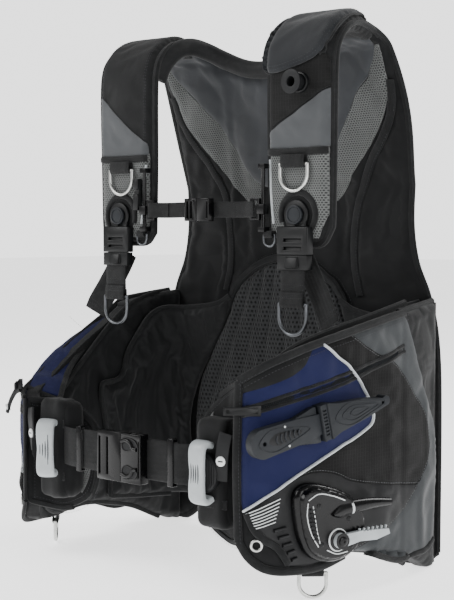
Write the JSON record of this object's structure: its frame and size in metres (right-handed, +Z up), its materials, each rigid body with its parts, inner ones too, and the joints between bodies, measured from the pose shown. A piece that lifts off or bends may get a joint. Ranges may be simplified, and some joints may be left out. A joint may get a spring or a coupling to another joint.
{
  "type": "buoyancy compensator vest",
  "caption": "Jacket-style diving buoyancy vest with tank band, integrated weight pouches, zipped pockets, lever inflation control and sheathed knife.",
  "frame": {"origin": "middle of the tank band, on the axis of the cylinder it clamps", "axes": "+Z up along the cylinder, -Y to the front of the wearer, +X to the wearer's left"},
  "size_m": [0.5355, 0.5716, 0.6995],
  "materials": {
    "black_fabric": "heavy black nylon twill",
    "neoprene": "smooth black stretch fabric",
    "gray_fabric": "charcoal and mid-gray nylon",
    "light_gray_fabric": "light gray panels",
    "navy_fabric": "navy blue nylon",
    "silver_mesh": "silver and black coarse mesh",
    "air_mesh": "dark spacer mesh with open holes",
    "webbing": "ribbed polyester webbing",
    "piping": "reflective piping and printed lines",
    "bladder_film": "laminated bladder film",
    "black_plastic": "satin moulded plastic",
    "gloss_black_plastic": "glossy moulded plastic",
    "gray_plastic": "dark gray moulded plastic",
    "pale_plastic": "pale gray moulded plastic",
    "rubber": "dark moulded rubber",
    "steel": "polished stainless steel",
    "dark_steel": "dark coated steel"
  },
  "bodies": {
    "root": {"backplate": "black_plastic", "carry_handle": "rubber", "air_cell_back": "black_fabric", "air_bladder": "bladder_film", "back_pad": "air_mesh", "lumbar_pads": "black_fabric", "yoke_panel": "gray_fabric", "neck_roll": "neoprene", "shoulder_straps": "black_fabric", "shoulder_flap": "gray_fabric", "inflator_socket": "black_plastic", "air_cell_wings": "neoprene", "cargo_pockets": "navy_fabric", "drain_eyelets": "steel", "ring_tabs": "webbing", "waist_buckle_socket": "gloss_black_plastic", "chest_rails": "gloss_black_plastic", "swivel_hubs": "gray_plastic", "sewn_webbing": "webbing", "keeper_loops": "gloss_black_plastic", "weight_sleeves": "black_fabric", "control_housing": "gloss_black_plastic", "knife_sheath": "gray_plastic", "whistle": "black_plastic", "tank_band": "webbing", "cam_buckle_base": "black_plastic", "dump_valve": "black_plastic"},
    "cam_lever": {"cam_lever": "black_plastic"},
    "mouthpiece": {"inflator_mouthpiece": "rubber"},
    "waist_plug": {"waist_buckle_plug": "gloss_black_plastic"},
    "waist_prong_upper": {"waist_prong_upper": "gloss_black_plastic"},
    "waist_prong_lower": {"waist_prong_lower": "gloss_black_plastic"},
    "chest_slider_l": {"chest_slider_l": "gloss_black_plastic", "chest_webbing_l": "webbing", "chest_buckle_socket": "gloss_black_plastic"},
    "chest_slider_r": {"chest_slider_r": "gloss_black_plastic", "chest_webbing_r": "webbing"},
    "chest_plug": {"chest_buckle_plug": "gloss_black_plastic"},
    "shoulder_ring_l": {"shoulder_ring_l": "steel"},
    "chest_ring_l": {"chest_ring_l": "gray_plastic"},
    "hip_ring_l": {"hip_ring_l": "steel"},
    "shoulder_buckle_l": {"shoulder_socket_l": "gloss_black_plastic"},
    "shoulder_plug_l": {"shoulder_plug_l": "gloss_black_plastic", "tail_webbing_l": "webbing"},
    "tail_ring_l": {"tail_ring_l": "dark_steel"},
    "weight_l": {"weight_pouch_l": "black_fabric", "weight_handle_l": "pale_plastic"},
    "zip_slider_l": {"zip_slider_l": "black_plastic"},
    "shoulder_ring_r": {"shoulder_ring_r": "steel"},
    "chest_ring_r": {"chest_ring_r": "gray_plastic"},
    "hip_ring_r": {"hip_ring_r": "steel"},
    "shoulder_buckle_r": {"shoulder_socket_r": "gloss_black_plastic"},
    "shoulder_plug_r": {"shoulder_plug_r": "gloss_black_plastic", "tail_webbing_r": "webbing"},
    "tail_ring_r": {"tail_ring_r": "dark_steel"},
    "weight_r": {"weight_pouch_r": "black_fabric", "weight_handle_r": "pale_plastic"},
    "zip_slider_r": {"zip_slider_r": "black_plastic"},
    "control_lever": {"control_lever": "pale_plastic"},
    "knife": {"knife": "gray_plastic"}
  },
  "joints": [
    {"name": "cam_lever_open", "type": "hinge", "parent": "root", "child": "cam_lever", "pos_m": [-0.024, 0.1061, 0], "axis": [0, 0, 1], "range_deg": [0, 110]},
    {"name": "mouthpiece_press", "type": "slide", "parent": "root", "child": "mouthpiece", "axis": [0, 1, 0], "range_m": [0, 0.005], "stiffness_N_per_m": 300},
    {"name": "waist_buckle_release", "type": "slide", "parent": "root", "child": "waist_plug", "axis": [-1, 0, 0], "range_m": [0, 0.036]},
    {"name": "waist_prong_upper_squeeze", "type": "hinge", "parent": "waist_plug", "child": "waist_prong_upper", "pos_m": [0.009, -0.445, -0.164], "axis": [0, 1, 0], "range_deg": [0, 7], "stiffness_Nm_per_rad": 0.6},
    {"name": "waist_prong_lower_squeeze", "type": "hinge", "parent": "waist_plug", "child": "waist_prong_lower", "pos_m": [0.009, -0.445, -0.202], "axis": [0, -1, 0], "range_deg": [0, 7], "stiffness_Nm_per_rad": 0.6},
    {"name": "chest_height_l", "type": "slide", "parent": "root", "child": "chest_slider_l", "axis": [0, 0, 1], "range_m": [-0.014, 0.042]},
    {"name": "chest_height_r", "type": "slide", "parent": "root", "child": "chest_slider_r", "axis": [0, 0, 1], "range_m": [-0.014, 0.042]},
    {"name": "chest_buckle_release", "type": "slide", "parent": "chest_slider_r", "child": "chest_plug", "axis": [-1, 0, 0], "range_m": [0, 0.022]},
    {"name": "shoulder_ring_swing_l", "type": "hinge", "parent": "root", "child": "shoulder_ring_l", "pos_m": [0.151, -0.297, 0.172], "axis": [-1, 0, 0], "range_deg": [0, 150]},
    {"name": "chest_ring_swing_l", "type": "hinge", "parent": "root", "child": "chest_ring_l", "pos_m": [0.112, -0.296, 0.086], "axis": [-1, 0, 0], "range_deg": [0, 75]},
    {"name": "hip_ring_swing_l", "type": "hinge", "parent": "root", "child": "hip_ring_l", "pos_m": [0.226, -0.352, -0.307], "axis": [0.7071, 0.7071, 0], "range_deg": [-75, 75]},
    {"name": "shoulder_swivel_l", "type": "hinge", "parent": "root", "child": "shoulder_buckle_l", "pos_m": [0.155, -0.296, 0.111], "axis": [0, 1, 0], "range_deg": [-10, 12]},
    {"name": "shoulder_buckle_release_l", "type": "slide", "parent": "shoulder_buckle_l", "child": "shoulder_plug_l", "axis": [0, 0, -1], "range_m": [0, 0.032]},
    {"name": "tail_ring_swing_l", "type": "hinge", "parent": "shoulder_plug_l", "child": "tail_ring_l", "pos_m": [0.155, -0.303, 0.002], "axis": [-1, 0, 0], "range_deg": [0, 120]},
    {"name": "weight_release_l", "type": "slide", "parent": "root", "child": "weight_l", "axis": [0, -1, 0], "range_m": [0, 0.06]},
    {"name": "zip_run_l", "type": "hinge", "parent": "root", "child": "zip_slider_l", "pos_m": [0.07515, -0.31139, -0.10038], "axis": [-0.1167, -0.2126, 0.9701], "range_deg": [0, 29.67]},
    {"name": "shoulder_ring_swing_r", "type": "hinge", "parent": "root", "child": "shoulder_ring_r", "pos_m": [-0.151, -0.297, 0.172], "axis": [-1, 0, 0], "range_deg": [0, 150]},
    {"name": "chest_ring_swing_r", "type": "hinge", "parent": "root", "child": "chest_ring_r", "pos_m": [-0.112, -0.296, 0.086], "axis": [-1, 0, 0], "range_deg": [0, 75]},
    {"name": "hip_ring_swing_r", "type": "hinge", "parent": "root", "child": "hip_ring_r", "pos_m": [-0.226, -0.352, -0.307], "axis": [0.7071, -0.7071, 0], "range_deg": [-75, 75]},
    {"name": "shoulder_swivel_r", "type": "hinge", "parent": "root", "child": "shoulder_buckle_r", "pos_m": [-0.155, -0.296, 0.111], "axis": [0, -1, 0], "range_deg": [-10, 12]},
    {"name": "shoulder_buckle_release_r", "type": "slide", "parent": "shoulder_buckle_r", "child": "shoulder_plug_r", "axis": [0, 0, -1], "range_m": [0, 0.032]},
    {"name": "tail_ring_swing_r", "type": "hinge", "parent": "shoulder_plug_r", "child": "tail_ring_r", "pos_m": [-0.155, -0.303, 0.002], "axis": [-1, 0, 0], "range_deg": [0, 120]},
    {"name": "weight_release_r", "type": "slide", "parent": "root", "child": "weight_r", "axis": [0, -1, 0], "range_m": [0, 0.06]},
    {"name": "zip_run_r", "type": "hinge", "parent": "root", "child": "zip_slider_r", "pos_m": [-0.07515, -0.31139, -0.10038], "axis": [-0.1167, 0.2126, -0.9701], "range_deg": [0, 29.67]},
    {"name": "control_lever_tilt", "type": "hinge", "parent": "root", "child": "control_lever", "pos_m": [0.26091, -0.34652, -0.264], "axis": [0.9659, -0.2588, 0], "range_deg": [-22, 22], "stiffness_Nm_per_rad": 0.6},
    {"name": "knife_draw", "type": "slide", "parent": "root", "child": "knife", "axis": [-0.2532, -0.9448, -0.2079], "range_m": [0, 0.11]}
  ],
  "couplings": [
    {"joint": "chest_height_r", "follows": "chest_height_l", "ratio": 1},
    {"joint": "waist_prong_lower_squeeze", "follows": "waist_prong_upper_squeeze", "ratio": 1}
  ]
}
